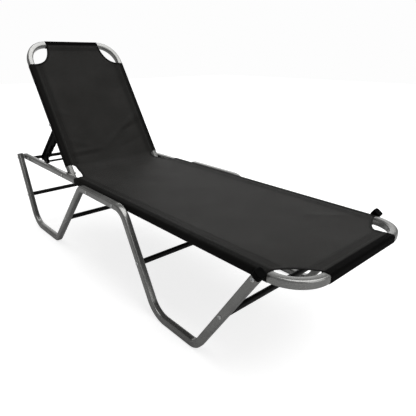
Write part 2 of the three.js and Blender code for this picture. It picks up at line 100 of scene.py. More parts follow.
rail_low, rail_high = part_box("main_frame")
leg_low, leg_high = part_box("leg_left")
RAIL_Y = rail_high.y - HALF
RAIL_Z = (rail_low.z + rail_high.z) / 2
RAIL_REAR = rail_low.x
FOOT_X = rail_high.x - HALF
LEG_Y = (leg_low.y + leg_high.y) / 2
BACK_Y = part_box("back_frame")[1].y - HALF

JOINTS = {joint["name"]: joint for joint in frame["joints"]}
HINGE = Vector(JOINTS["backrest_hinge"]["pos_m"])
PIVOT = Vector(JOINTS["arms_hinge"]["pos_m"])
BACK_TILT = math.radians(57)       # the backrest's rise from the rails at rest
STUB = 20 * MM                     # how far its tubes run on below the hinge
BACK_UP = Vector((-math.cos(BACK_TILT), 0, math.sin(BACK_TILT)))
BACK_OUT = Vector((math.sin(BACK_TILT), 0, math.cos(BACK_TILT)))
BACK_TOP = 0.628                   # from the hinge up to the hoop's top tube
SIDES = (("left", 1), ("right", -1))


def on_back(up, out=0.0, y=0.0):
    """The point of the backrest `up` from the hinge along its tubes and `out` on its lying side."""
    return HINGE + BACK_UP * up + BACK_OUT * out + Vector((0, y, 0))


def centre(node):
    low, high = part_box(node)
    return (low + high) / 2


print("rails", round(RAIL_Y, 4), "backrest", round(BACK_Y, 4), "legs", round(LEG_Y, 4))
print("backrest top", [round(x, 4) for x in on_back(BACK_TOP)])

# %% [markdown]
# ## Small helpers
# One function turns a sketch's hex colour into the linear values that shaders work in. One adds a node with
# its settings and links. Both serve shader trees and Geometry Nodes trees alike.

# %% Colour and node helpers
def linear(hex_colour):
    """sRGB hex to linear red, green, blue and alpha."""
    channels = [int(hex_colour[i:i + 2], 16) / 255 for i in (1, 3, 5)]
    return (*(c / 12.92 if c <= 0.04045 else ((c + 0.055) / 1.055) ** 2.4 for c in channels), 1.0)


def add(tree, kind, inputs=None, **settings):
    """A new node; `inputs` maps a socket's name or number to a value or to another node's output."""
    made = tree.nodes.new(kind)
    for name, value in settings.items():
        setattr(made, name, value)
    for key, value in (inputs or {}).items():
        if isinstance(value, bpy.types.NodeSocket):
            tree.links.new(value, made.inputs[key])
        else:
            made.inputs[key].default_value = value
    return made


def ramp(tree, factor, stops):
    """A colour ramp through (position, hex) stops; returns its colour output."""
    made = add(tree, "ShaderNodeValToRGB", {"Fac": factor})
    elements = made.color_ramp.elements
    while len(elements) < len(stops):
        elements.new(0.5)
    for element, (position, colour) in zip(elements, stops):
        element.position = position
        element.color = linear(colour)
    return made.outputs["Color"]


def spread(tree, factor, low, high):
    """The factor from 0 to 1 mapped to low..high."""
    return add(tree, "ShaderNodeMapRange", {"Value": factor, "To Min": low, "To Max": high}).outputs["Result"]


def finish(name, roughness, metallic=0.0, coat=0.0):
    """An empty principled material; returns it with its tree, its shader and its Object coordinates."""
    material = bpy.data.materials.new(name)
    material.use_nodes = True
    tree = material.node_tree
    shader = tree.nodes["Principled BSDF"]
    shader.inputs["Roughness"].default_value = roughness
    shader.inputs["Metallic"].default_value = metallic
    shader.inputs["Coat Weight"].default_value = coat
    return material, tree, shader, add(tree, "ShaderNodeTexCoord").outputs["Object"]


def cloud(tree, where, scale, detail):
    """A noise texture's value."""
    return add(tree, "ShaderNodeTexNoise", {"Vector": where, "Scale": scale, "Detail": detail}).outputs["Fac"]


def cells(tree, where, size_mm, **settings):
    """A cell texture with cells of about that size."""
    return add(tree, "ShaderNodeTexVoronoi", {"Vector": where, "Scale": per_mm(size_mm)}, **settings)


def blended(tree, factor, first, second, **settings):
    """Two colours mixed by a factor."""
    mix = add(tree, "ShaderNodeMix", {0: factor, 6: first, 7: second}, data_type="RGBA", **settings)
    return mix.outputs[2]


def per_mm(size):
    """The texture scale whose pattern repeats about every `size` millimetres."""
    return 1 / (size * MM)


def drive(tree, shader, colour, roughness):
    tree.links.new(colour, shader.inputs["Base Color"])
    tree.links.new(roughness, shader.inputs["Roughness"])


def bumped(tree, shader, height, depth_mm, strength):
    bump = add(tree, "ShaderNodeBump", {"Height": height, "Distance": depth_mm * MM, "Strength": strength})
    tree.links.new(bump.outputs["Normal"], shader.inputs["Normal"])


print("silver grey is", [round(x, 3) for x in linear("#949492")])

# %% [markdown]
# ## Silver powder coat
# The tubes are sprayed with silver-grey powder that carries fine aluminium flake, then baked. The eye sees
# a satin grey with soft streaks of light along the rounded corners, a faint orange peel, and dull scuffs
# where the feet rub on the ground. The flake itself is 0.05 mm, so it is drawn at 1 mm to show at all.

# %% Silver powder coat
FLAKE_MM = 1.0
PEEL_MM = 2.5
SCUFFED = 12 * MM                  # scuffs reach this far up the feet


def silver_powder_coat():
    material, tree, shader, place = finish("satin silver powder coat", 0.3, 0.72, coat=0.12)
    shader.inputs["Coat Roughness"].default_value = 0.16
    flake = cells(tree, place, FLAKE_MM).outputs["Color"]
    cloudy = cloud(tree, place, 9.0, 4.0)
    grey = ramp(tree, flake, [(0.0, "#828281"), (0.6, "#949492"), (1.0, "#a9a9a6")])
    tone = ramp(tree, cloudy, [(0.3, "#dcdcdc"), (0.7, "#ffffff")])
    shade = blended(tree, 1.0, grey, tone, blend_type="MULTIPLY")
    height = add(tree, "ShaderNodeSeparateXYZ", {"Vector": place}).outputs["Z"]
    low = add(tree, "ShaderNodeMapRange", {
        "Value": height, "From Min": 0.0, "From Max": SCUFFED, "To Min": 1.0, "To Max": 0.0,
    }).outputs["Result"]
    scratch = cloud(tree, place, per_mm(6), 6.0)
    rubbed = add(tree, "ShaderNodeMath", {0: low, 1: scratch}, operation="MULTIPLY").outputs[0]
    satin = spread(tree, cloudy, 0.2, 0.34)
    dulled = add(tree, "ShaderNodeMath", {0: rubbed, 1: 0.4, 2: satin}, operation="MULTIPLY_ADD").outputs[0]
    drive(tree, shader, blended(tree, rubbed, shade, linear("#4a4a48")), dulled)
    bumped(tree, shader, cloud(tree, place, per_mm(PEEL_MM), 2.0), 0.05, 0.35)
    return material


SILVER = silver_powder_coat()
print(SILVER.name, "peel every", PEEL_MM, "mm")

# %% [markdown]
# ## Black powder coat, zinc and mouldings
# The crossbars are satin black powder coat. Screws are bright zinc, which crystallises in faint cool and
# warm patches. The arms and caps are nylon moulded in a spark-eroded tool, so they carry a fine grain.
# That grain is about 0.3 mm on the real thing and is drawn at 0.9 mm.

# %% Black paint, zinc and plastics
def black_powder_coat():
    material, tree, shader, place = finish("satin black powder coat", 0.42)
    shader.inputs["Specular IOR Level"].default_value = 0.2
    dust = cloud(tree, place, 14.0, 5.0)
    colour = ramp(tree, dust, [(0.35, "#0a0a0a"), (0.75, "#141413")])
    drive(tree, shader, colour, spread(tree, dust, 0.34, 0.52))
    bumped(tree, shader, cloud(tree, place, per_mm(2.0), 3.0), 0.05, 0.5)
    return material


def bright_zinc():
    material, tree, shader, place = finish("bright zinc plate", 0.26, 1.0)
    crystal = cells(tree, place, 1.6, feature="F1")
    colour = ramp(tree, crystal.outputs["Color"], [(0.0, "#b4b9bf"), (0.5, "#c9cbcc"), (1.0, "#d4d0c4")])
    drive(tree, shader, colour, spread(tree, crystal.outputs["Distance"], 0.2, 0.4))
    bumped(tree, shader, cloud(tree, place, per_mm(0.8), 2.0), 0.03, 0.4)
    return material


def grained_nylon(name, dark, light):
    material, tree, shader, place = finish(name, 0.5)
    shader.inputs["Specular IOR Level"].default_value = 0.015
    grain = cells(tree, place, 0.9, feature="SMOOTH_F1").outputs["Distance"]
    patch = cloud(tree, place, 22.0, 3.0)
    drive(tree, shader, ramp(tree, patch, [(0.3, dark), (0.75, light)]), spread(tree, patch, 0.42, 0.6))
    bumped(tree, shader, grain, 0.06, 0.6)
    return material


BLACK = black_powder_coat()
ZINC = bright_zinc()
BLACK_NYLON = grained_nylon("black moulded nylon", "#040404", "#0a0a0a")
GREY_NYLON = grained_nylon("grey moulded nylon", "#4b4e4f", "#5f6263")
print([m.name for m in (BLACK, ZINC, BLACK_NYLON, GREY_NYLON)])

# %% [markdown]
# ## Coated mesh cloth
# The bed is polyester yarn dipped in vinyl and woven two over two under, then heat-set so the yarns stick
# together. It reads as charcoal with a fine grid of lighter yarn tops and darker holes, and it goes paler
# at a shallow angle. Real yarns lie 1.1 mm apart; they are drawn every 2.6 mm so that the weave shows.
# The hems are double and are painted darker for the light that the second layer stops; the sleeves and the
# wraps round the foot and top tubes are painted near black as shade.

# %% Mesh cloth and thread
YARN_MM = 2.6
WAVE = 0.314159                    # a wave texture of scale 1 repeats every 0.314 m


def coated_mesh_cloth():
    material, tree, shader, _ = finish("charcoal coated mesh cloth", 0.62)
    shader.inputs["Sheen Roughness"].default_value = 0.5
    flat = add(tree, "ShaderNodeUVMap", uv_map="cloth").outputs["UV"]
    warp, weft = (
        add(tree, "ShaderNodeTexWave", {"Vector": flat, "Scale": WAVE * per_mm(YARN_MM)}, bands_direction=way)
        for way in "XY"
    )
    over = add(tree, "ShaderNodeTexChecker", {"Vector": flat, "Scale": per_mm(YARN_MM)})
    weave = add(tree, "ShaderNodeMix", {
        0: over.outputs["Fac"], 2: warp.outputs["Fac"], 3: weft.outputs["Fac"],
    })
    yarn = ramp(tree, weave.outputs[0], [(0.0, "#141413"), (0.45, "#262524"), (1.0, "#383735")])
    tone = ramp(tree, cloud(tree, flat, 7.0, 5.0), [(0.3, "#d8d8d6"), (0.7, "#ffffff")])
    toned = blended(tree, 1.0, yarn, tone, blend_type="MULTIPLY")
    # The "hem" attribute paints shade: darker on doubled hems, near black on sleeves and tube wraps, whose
    # reflection and sheen it also turns down.
    hem = add(tree, "ShaderNodeAttribute", attribute_name="hem").outputs["Fac"]
    painted_shade_colour = blended(tree, spread(tree, hem, 0.0, 0.94), toned, linear("#040404"))
    drive(tree, shader, painted_shade_colour, spread(tree, weave.outputs[0], 0.72, 0.5))
    tree.links.new(spread(tree, hem, 0.08, 0.015), shader.inputs["Specular IOR Level"])
    tree.links.new(spread(tree, hem, 0.03, 0.0), shader.inputs["Sheen Weight"])
    bumped(tree, shader, weave.outputs[0], 0.35, 0.7)
    return material


def bonded_thread():
    material, tree, shader, place = finish("bonded black thread", 0.45)
    twist = add(tree, "ShaderNodeTexWave", {
        "Vector": place, "Scale": WAVE * per_mm(0.8),
    }, bands_direction="DIAGONAL").outputs["Fac"]
    colour = ramp(tree, twist, [(0.0, "#161615"), (1.0, "#343431")])
    tree.links.new(colour, shader.inputs["Base Color"])
    bumped(tree, shader, twist, 0.08, 0.6)
    return material


CLOTH = coated_mesh_cloth()
THREAD = bonded_thread()
print(CLOTH.name, "yarns every", YARN_MM, "mm")

# %% [markdown]
# ## Geometry Nodes: a section along a path
# A bent tube, a straight bar and the tape on a cut edge are all one idea: a small outline swept along a
# line. This tree takes corners joined by edges, rounds each corner by its own "bend" radius, and sweeps a
# rounded rectangle along the result. Changing a bend then needs one number, and every tube stays smooth.

# %% Tree: section along a path
def group(name, sockets):
    """A new Geometry Nodes tree with a geometry in and out and the named inputs."""
    tree = bpy.data.node_groups.new(name, "GeometryNodeTree")
    tree.is_modifier = True
    tree.interface.new_socket("Geometry", in_out="INPUT", socket_type="NodeSocketGeometry")
    for socket, kind in sockets.items():
        tree.interface.new_socket(socket, in_out="INPUT", socket_type=f"NodeSocket{kind}")
    tree.interface.new_socket("Geometry", in_out="OUTPUT", socket_type="NodeSocketGeometry")
    return tree, add(tree, "NodeGroupInput").outputs


def close(tree, geometry, material):
    """Ends a tree in Realize Instances and Set Material."""
    real = add(tree, "GeometryNodeRealizeInstances", {"Geometry": geometry})
    painted = add(tree, "GeometryNodeSetMaterial", {"Geometry": real.outputs[0], "Material": material})
    add(tree, "NodeGroupOutput", {0: painted.outputs[0]})
    return tree


def section_tree():
    tree, given = group("section along a path", {
        "Width": "Float", "Height": "Float", "Corner radius": "Float",
        "Corner steps": "Int", "Bend steps": "Int", "Material": "Material",
    })
    path = add(tree, "GeometryNodeMeshToCurve", {"Mesh": given["Geometry"]})
    bend = add(tree, "GeometryNodeInputNamedAttribute", {"Name": "bend"}, data_type="FLOAT")
    rounded = add(tree, "GeometryNodeFilletCurve", {
        "Curve": path.outputs[0], "Radius": bend.outputs[0], "Limit Radius": True,
        "Count": given["Bend steps"],
    }, mode="POLY")
    steady = add(tree, "GeometryNodeSetCurveNormal", {"Curve": rounded.outputs[0]}, mode="MINIMUM_TWIST")
    outline = add(tree, "GeometryNodeCurvePrimitiveQuadrilateral", {
        "Width": given["Width"], "Height": given["Height"],
    })
    soft = add(tree, "GeometryNodeFilletCurve", {
        "Curve": outline.outputs[0], "Radius": given["Corner radius"], "Limit Radius": True,
        "Count": given["Corner steps"],
    }, mode="POLY")
    swept = add(tree, "GeometryNodeCurveToMesh", {
        "Curve": steady.outputs[0], "Profile Curve": soft.outputs[0], "Fill Caps": True,
    })
    return close(tree, swept.outputs[0], given["Material"])


SECTION = section_tree()
print(SECTION.name, "has", len(SECTION.nodes), "nodes")

# %% Growing a mesh from a tree
def shaped(piece):
    """The mesh that a piece's modifiers make."""
    depsgraph = bpy.context.evaluated_depsgraph_get()
    return bpy.data.meshes.new_from_object(piece.evaluated_get(depsgraph), depsgraph=depsgraph)


def grown(name, seed, tree, inputs):
    """The plain mesh object that `tree` makes of the seed mesh."""
    holder = bpy.data.objects.new(name + "_seed", seed)
    bpy.context.scene.collection.objects.link(holder)
    modifier = holder.modifiers.new("grow", "NODES")
    modifier.node_group = tree
    for item in tree.interface.items_tree:
        if item.in_out == "INPUT" and item.name in inputs:
            modifier[item.identifier] = inputs[item.name]
    mesh = shaped(holder)
    bpy.data.objects.remove(holder)
    mesh.name = name
    return placed(name, mesh)


def placed(name, mesh, material=None, sharp_above=40):
    """Links a mesh as an object at the origin, smooth except at edges sharper than the angle in degrees."""
    mesh.shade_smooth()
    mesh.set_sharp_from_angle(angle=math.radians(sharp_above))
    if material:
        mesh.materials.clear()
        mesh.materials.append(material)
    made = bpy.data.objects.new(name, mesh)
    bpy.context.scene.collection.objects.link(made)
    return made


def lines(paths):
    """A mesh of separate lines of edges. Each path is a list of points or of (point, bend radius)."""
    points, edges, bends = [], [], []
    for path in paths:
        first = len(points)
        for entry in path:
            point, bend = entry if isinstance(entry, tuple) and len(entry) == 2 else (entry, 0.0)
            points.append(point)
            bends.append(bend)
        edges += [(i, i + 1) for i in range(first, len(points) - 1)]
    mesh = bpy.data.meshes.new("lines")
    mesh.from_pydata([tuple(p) for p in points], edges, [])
    mesh.attributes.new("bend", "FLOAT", "POINT").data.foreach_set("value", bends)
    return mesh


def swept(name, paths, width, height, corner, material, corner_steps=5, bend_steps=14):
    return grown(name, lines(paths), SECTION, {
        "Width": width, "Height": height, "Corner radius": corner, "Corner steps": corner_steps,
        "Bend steps": bend_steps, "Material": material,
    })


def settle(piece, body, slot, *nodes):
    """Rides a finished piece on its body and lets it stand for its CAD nodes; its slot is not used."""
    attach(piece, body)
    if nodes:
        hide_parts(*nodes)
    return piece


print("helpers ready")

# %% [markdown]
# ## The tubes
# The seat frame is one tube bent round the foot end. Each leg is a single tube with six bends: down, along
# the ground, up to the rail, along it, and down again. The backrest is a hoop like the seat frame's.
# Each is one path of corners with bend radii, swept with the rounded-square section.

# %% Seat frame and backrest hoop
def square_tube(name, corners):
    return swept(name, [corners], TUBE, TUBE, CORNER, SILVER)


seat_hoop = [
    (Vector((RAIL_REAR, RAIL_Y, RAIL_Z)), 0.0), (Vector((FOOT_X, RAIL_Y, RAIL_Z)), FRAME_BEND),
    (Vector((FOOT_X, -RAIL_Y, RAIL_Z)), FRAME_BEND), (Vector((RAIL_REAR, -RAIL_Y, RAIL_Z)), 0.0),
]
back_hoop = [
    (on_back(-STUB, 0, BACK_Y), 0.0), (on_back(BACK_TOP, 0, BACK_Y), FRAME_BEND),
    (on_back(BACK_TOP, 0, -BACK_Y), FRAME_BEND), (on_back(-STUB, 0, -BACK_Y), 0.0),
]
seat_frame = settle(square_tube("seat_frame_tube", seat_hoop), "frame", "silver_paint", "main_frame")
back_frame = settle(square_tube("backrest_tube", back_hoop), "backrest", "silver_paint", "back_frame")
print("seat tube", len(seat_frame.data.polygons), "faces; backrest", len(back_frame.data.polygons))

# %% Legs
LENGTH = 1.722
LEG_CORNERS = [  # (part of the length from the head end, height, bend radius)
    (0.00739, 0.352, 0.0), (0.0722, HALF, 0.090), (0.2210, HALF, 0.040), (0.4042, RAIL_Z, 0.045),
    (0.5846, RAIL_Z, 0.065), (0.6836, HALF, 0.085), (0.8033, HALF, 0.045), (0.9350, 0.355, 0.0),
]


def leg_path(y):
    return [(Vector(((part - 0.5) * LENGTH, y, z)), bend) for part, z, bend in LEG_CORNERS]


for side, sign in SIDES:
    leg = square_tube(f"leg_tube_{side}", leg_path(sign * LEG_Y))
    settle(leg, "frame", "silver_paint", f"leg_{side}")
print("leg", len(leg.data.polygons), "faces")

# %% [markdown]
# ## Crossbars and the rod between the arms
# Four crossbars tie the legs together and a fifth, between the rails, carries the arms. They are round
# tube cut square. A round bar is the same sweep with a corner radius of half its width.

# %% Crossbars and rod
BARS = ["crossbar_head", "crossbar_rear", "crossbar_middle", "crossbar_foot"]


def round_bar(name, node_names, body):
    paths, width = [], 0.0
    for node_name in node_names:
        low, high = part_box(node_name)
        middle = (low + high) / 2
        width = high.z - low.z
        paths.append([Vector((middle.x, low.y, middle.z)), Vector((middle.x, high.y, middle.z))])
    bar = swept(name, paths, width, width, width * 0.4995, BLACK, corner_steps=9)
    return settle(bar, body, "black_paint", *node_names)


crossbars = round_bar("crossbars", BARS, "frame")
round_bar("arm_support_rod", ["arm_support_bar"], "frame")
round_bar("arm_joining_rod", ["arm_rod"], "arms")
print("bars", len(crossbars.data.polygons), "faces")

# %% [markdown]
# ## Plugs and caps
# Every open tube end has a moulded stopper, so that nobody cuts a hand on it. A stopper is a rounded square
# lofted through a few rings: straight at the side, curling over a soft edge to a slightly domed top.

# %% Lofted solids
def rounded_ring(half, corner, steps=6):
    """Points of a rounded square of that half width, anticlockwise."""
    ring = []
    for cx, cy, start in ((1, -1, -90), (1, 1, 0), (-1, 1, 90), (-1, -1, 180)):
        for i in range(steps + 1):
            angle = math.radians(start + 90 * i / steps)
            ring.append((
                cx * (half - corner) + corner * math.cos(angle),
                cy * (half - corner) + corner * math.sin(angle),
            ))
    return ring


def round_ring(radius, count=24):
    turns = [math.tau * i / count for i in range(count)]
    return [(radius * math.cos(a), radius * math.sin(a)) for a in turns]


def hex_ring(across, count=24):
    """A hexagon with that distance across flats, given at the same angles as a round ring."""
    ring = []
    for i in range(count):
        angle = math.tau * i / count
        nearest = (angle + math.pi / 6) % (math.pi / 3) - math.pi / 6
        radius = across / 2 / math.cos(nearest)
        ring.append((radius * math.cos(angle), radius * math.sin(angle)))
    return ring


def lofted(rings, place=Matrix.Identity(4)):
    """A closed mesh through rings of (ring, height) with as many points each, closed at both ends."""
    made = bmesh.new()
    loops = [[made.verts.new(place @ Vector((x, y, z))) for x, y in ring] for ring, z in rings]
    for below, above in zip(loops, loops[1:]):
        for i in range(len(below)):
            j = (i + 1) % len(below)
            made.faces.new((below[i], below[j], above[j], above[i]))
    made.faces.new(list(reversed(loops[0])))
    made.faces.new(loops[-1])
    bmesh.ops.recalc_face_normals(made, faces=made.faces)
    mesh = bpy.data.meshes.new("lofted")
    made.to_mesh(mesh)
    made.free()
    return mesh


def standing(point, direction):
    """The turn and place that stand a piece drawn along +Z on a point, its sides square to the lounger's."""
    z = Vector(direction).normalized()
    y = Vector((0, 1, 0)) if abs(z.y) < 0.9 else Vector((0, 0, 1))
    x = y.cross(z).normalized()
    turned = Matrix((x, z.cross(x), z)).transposed().to_4x4()
    return Matrix.Translation(point) @ turned


print("ring of", len(rounded_ring(HALF, CORNER)), "points")

# %% Plugs and caps in place
LID_RINGS = [  # (how far in from the tube's face, height), the last ones making a shallow dome
    (0.1, 0.0), (0.0, 0.3), (0.0, 1.5), (0.25, 2.2), (0.8, 2.7), (1.7, 3.0), (4.0, 3.15), (8.0, 3.2),
]


def stopper(name, point, direction, body, slot, node_name, grow=0.0, skirt=0.0):
    """A lid on a tube end; `grow` makes it wider than the tube and `skirt` runs it down the outside."""
    material = GREY_NYLON if slot == "grey_plastic" else BLACK_NYLON
    half = HALF + grow
    rings = []
    if skirt:
        rings.append((rounded_ring(half - 0.3 * MM, CORNER + grow), -skirt))
        rings.append((rounded_ring(half, CORNER + grow), -skirt + 0.5 * MM))
    for inset, height in LID_RINGS:
        shrink = inset * MM
        corner = max(CORNER + grow - shrink * 0.6, 2.0 * MM)
        rings.append((rounded_ring(half - shrink, corner), GAP + height * MM))
    mesh = lofted(rings, standing(point, direction))
    return settle(placed(name, mesh, material, 60), body, slot, node_name)


leg_ends = leg_path(0)
for side, sign in SIDES:
    rise = leg_ends[0][0] - leg_ends[1][0]
    top = leg_ends[0][0] + Vector((0, sign * LEG_Y, 0))
    stopper(f"leg_stopper_{side}", top, rise, "frame", "grey_plastic", f"leg_top_plug_{side}")
    reach = leg_ends[-1][0] - leg_ends[-2][0]
    tip = leg_ends[-1][0] + Vector((0, sign * LEG_Y, 0))
    stopper(f"leg_end_cap_{side}", tip, reach, "frame", "black_plastic", f"leg_cap_{side}",
            grow=1.2 * MM, skirt=14 * MM)
    rail_end = Vector((RAIL_REAR, sign * RAIL_Y, RAIL_Z))
    stopper(f"rail_stopper_{side}", rail_end, (-1, 0, 0), "frame", "grey_plastic", f"rail_plug_{side}")
    stub_end = on_back(-STUB, 0, sign * BACK_Y)
    stopper(f"backrest_stopper_{side}", stub_end, -BACK_UP, "backrest", "grey_plastic", f"back_plug_{side}")
print("stoppers on", 4 * len(SIDES), "tube ends")

# %% [markdown]
# ## Screws
# The frame is held by domed socket-head screws, some with a nut on the far side. One screw is modelled
# with care, and Geometry Nodes set a copy on every point of a seed mesh, turned by the point's "side".

# %% Tree: screws on points
def screw_tree():
    tree, given = group("screws on points", {"Screw": "Object", "Material": "Material"})
    part = add(tree, "GeometryNodeObjectInfo", {"Object": given["Screw"]}, transform_space="ORIGINAL")
    turn = add(tree, "GeometryNodeInputNamedAttribute", {"Name": "turn"}, data_type="FLOAT_VECTOR")
    copies = add(tree, "GeometryNodeInstanceOnPoints", {
        "Points": given["Geometry"], "Instance": part.outputs["Geometry"], "Rotation": turn.outputs[0],
    })
    return close(tree, copies.outputs[0], given["Material"])


SCREWS = screw_tree()
HEAD = 3.0 * MM                    # a head's height above its seat
NUT = 7.0 * MM                     # a nut and the thread's end beyond it


def screw_mesh(grip, nut):
    """A domed socket screw drawn along +Z, its head's seat at 0, reaching `grip` down to a nut or its tip."""
    r = BOLT / 2
    down = [(round_ring(r - 0.6 * MM), -grip - (NUT if nut else 0.0))]
    down.append((round_ring(r), down[0][1] + 0.6 * MM))
    if nut:
        down += [
            (round_ring(r), -grip - 5.0 * MM), (round_ring(4.4 * MM), -grip - 5.0 * MM),
            (hex_ring(10 * MM), -grip - 4.4 * MM), (hex_ring(10 * MM), -grip - 0.6 * MM),
            (round_ring(4.6 * MM), -grip), (round_ring(r), -grip),
        ]
    dome = []
    for i in range(5):
        angle = math.radians(75 * i / 4)
        dome.append((round_ring(6.2 * MM * math.cos(angle * 0.8)), (0.5 + 2.5 * math.sin(angle)) * MM))
    rings = down + [
        (round_ring(r), 0.0), (round_ring(6.0 * MM), 0.0), (round_ring(6.2 * MM), 0.2 * MM), *dome,
        (round_ring(2.9 * MM), 2.95 * MM), (hex_ring(4 * MM), 2.75 * MM), (hex_ring(3.9 * MM), 1.0 * MM),
        (round_ring(0.5 * MM), 0.8 * MM),
    ]
    return lofted(rings)


def screws(name, node_names, nut, body):
    """Screws in the places of those CAD nodes: heads outwards, as long as their nodes."""
    seeds, turns, grip = [], [], 0.0
    for node_name in node_names:
        low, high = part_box(node_name)
        sign = 1 if low.y + high.y > 0 else -1
        seat = (high.y if sign > 0 else -low.y) - HEAD
        grip = high.y - low.y - HEAD - (NUT if nut else 0.0)
        middle = (low + high) / 2
        seeds.append((middle.x, sign * seat, middle.z))
        turns += [-sign * math.pi / 2, 0.0, 0.0]
    mesh = bpy.data.meshes.new("seeds")
    mesh.from_pydata(seeds, [], [])
    mesh.attributes.new("turn", "FLOAT_VECTOR", "POINT").data.foreach_set("vector", turns)
    part = placed("screw_pattern", screw_mesh(grip, nut), ZINC, 30)
    made = grown(name, mesh, SCREWS, {"Screw": part, "Material": ZINC})
    bpy.data.objects.remove(part)
    return settle(made, body, "zinc", *node_names)


def both_sides(*names):
    return [f"{name}_{side}" for name in names for side, _ in SIDES]


fours = range(1, 5)
leg_screws = screws("leg_screws", both_sides(*(f"leg_bolt_{i}" for i in fours)), True, "frame")
bar_screws = screws("crossbar_screws", both_sides(*(f"crossbar_screw_{i}" for i in fours)), False, "frame")
rod_screws = screws("arm_rod_screws", both_sides("arm_bar_screw"), False, "frame")
hinge_screws = screws("hinge_screws", both_sides("hinge_bolt"), True, "frame")
pivot_screws = screws("pivot_screws", both_sides("pivot_bolt"), True, "backrest")
every_screw = (leg_screws, bar_screws, rod_screws, hinge_screws, pivot_screws)
print("screw faces", sum(len(s.data.polygons) for s in every_screw))

# %% Hinge spacers
for side, sign in SIDES:
    low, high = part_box(f"hinge_spacer_{side}")
    wide, outer = high.y - low.y, (high.x - low.x) / 2
    rings = [
        (round_ring(BOLT / 2 + GAP, 32), 0.0), (round_ring(outer - 1 * MM, 32), 0.0),
        (round_ring(outer, 32), 1 * MM), (round_ring(outer, 32), wide - 1 * MM),
        (round_ring(outer - 1 * MM, 32), wide), (round_ring(BOLT / 2 + GAP, 32), wide),
    ]
    spot = Matrix.Translation((HINGE.x, low.y, HINGE.z)) @ Matrix.Rotation(-math.pi / 2, 4, "X")
    washer = placed(f"hinge_washer_{side}", lofted(rings, spot), BLACK_NYLON, 60)
    settle(washer, "frame", "black_plastic", f"hinge_spacer_{side}")
print("spacer", round(wide / MM, 1), "mm wide")

# %% [markdown]
# ## The adjusting arms
# Each arm is a nylon plate 12 mm thick: an eye at the top on the backrest's tube, three hooked notches down
# its front, a lug that carries the joining rod, and a heel hollowed to sit on the support bar. It is drawn
# in its own two directions, down the arm and forward, then given thickness, a pocket in each face and
# rounded edges, as a moulder would to save material and avoid sink marks.

# %% Arm outline
EYE, ARM_REAR, ARM_FRONT = 11.5 * MM, -14.5 * MM, 35 * MM
SEAT_R, BAR_BEHIND = 8.4 * MM, 18.6 * MM
NOTCH_R, NOTCH_DEEP, TOOTH_EDGE = 9 * MM, 31 * MM, 1.5 * MM
NOTCH_PLACES = (0.714, 0.583, 0.464)   # as parts of the arm's reach, from the lower end up
SHOULDER_AT = 0.36
LUG, NECK = 10.5 * MM, 27 * MM

to_bar = centre("arm_support_bar") - PIVOT
reach = math.sqrt(to_bar.x ** 2 + to_bar.z ** 2 - BAR_BEHIND ** 2)
arm_angle = math.atan2(to_bar.z, to_bar.x) + math.asin(BAR_BEHIND / math.hypot(to_bar.x, to_bar.z))
ARM_DOWN = Vector((math.cos(arm_angle), 0, math.sin(arm_angle)))
ARM_FORWARD = Vector((-ARM_DOWN.z, 0, ARM_DOWN.x))
rod_offset = centre("arm_rod") - PIVOT
ROD_T, ROD_P = rod_offset.dot(ARM_DOWN), rod_offset.dot(ARM_FORWARD)


def arc(t, p, radius, start, stop, steps):
    """Points of an arc about (t, p), angles in degrees."""
    turns = [math.radians(start + (stop - start) * i / steps) for i in range(steps + 1)]
    return [(t + radius * math.cos(a), p + radius * math.sin(a)) for a in turns]


def arm_outline():
    seat_in = math.degrees(math.asin((BAR_BEHIND + ARM_REAR) / SEAT_R))
    points = arc(0, 0, EYE, 95, 262, 20)
    points.append((60 * MM, ARM_REAR))
    points += arc(reach, -BAR_BEHIND, SEAT_R, 180 - seat_in, 106, 10)
    points += arc(ROD_T, ROD_P, LUG, 38, 180, 14)
    points.append((ROD_T - LUG - 2 * TOOTH_EDGE, NECK))
    for part in NOTCH_PLACES:
        t = reach * part
        points.append((t + NOTCH_R, ARM_FRONT - TOOTH_EDGE))
        points += arc(t, NOTCH_DEEP, NOTCH_R, 0, -180, 12)
        points += [(t - NOTCH_R, ARM_FRONT - TOOTH_EDGE), (t - NOTCH_R - TOOTH_EDGE, ARM_FRONT)]
    points.append((reach * SHOULDER_AT, ARM_FRONT))
    return points


print("arm reaches", round(reach / MM), "mm, outline of", len(arm_outline()), "points")

# %% Arms
def boss(t, p, radius, y_face, outward):
    """A round boss that fills the pocket again round a hole, its edge softened."""
    rings = [
        (round_ring(radius, 32), -1 * MM), (round_ring(radius, 32), -0.5 * MM),
        (round_ring(radius - 0.5 * MM, 32), 0.0),
    ]
    spot = PIVOT + ARM_DOWN * t + ARM_FORWARD * p + Vector((0, y_face, 0))
    return lofted(rings, standing(spot, (0, outward, 0)))


def arm_mesh(y_low, y_high):
    made = bmesh.new()
    corners = [PIVOT + ARM_DOWN * t + ARM_FORWARD * p for t, p in arm_outline()]
    low = [made.verts.new((c.x, y_low, c.z)) for c in corners]
    high = [made.verts.new((c.x, y_high, c.z)) for c in corners]
    faces = [made.faces.new(low), made.faces.new(list(reversed(high)))]
    for i in range(len(low)):
        j = (i + 1) % len(low)
        made.faces.new((low[j], low[i], high[i], high[j]))
    bmesh.ops.recalc_face_normals(made, faces=made.faces)
    for face in faces:
        for thickness, depth in ((3.2 * MM, 0.0), (0.8 * MM, -1.6 * MM)):
            bmesh.ops.inset_region(made, faces=[face], thickness=thickness, depth=depth, use_even_offset=True)
    mesh = bpy.data.meshes.new("arm")
    made.to_mesh(mesh)
    made.free()
    return mesh


def joined(name, meshes, material, sharp_above=40):
    """One object of several meshes."""
    made = bmesh.new()
    for mesh in meshes:
        made.from_mesh(mesh)
    mesh = bpy.data.meshes.new(name)
    made.to_mesh(mesh)
    made.free()
    return placed(name, mesh, material, sharp_above)


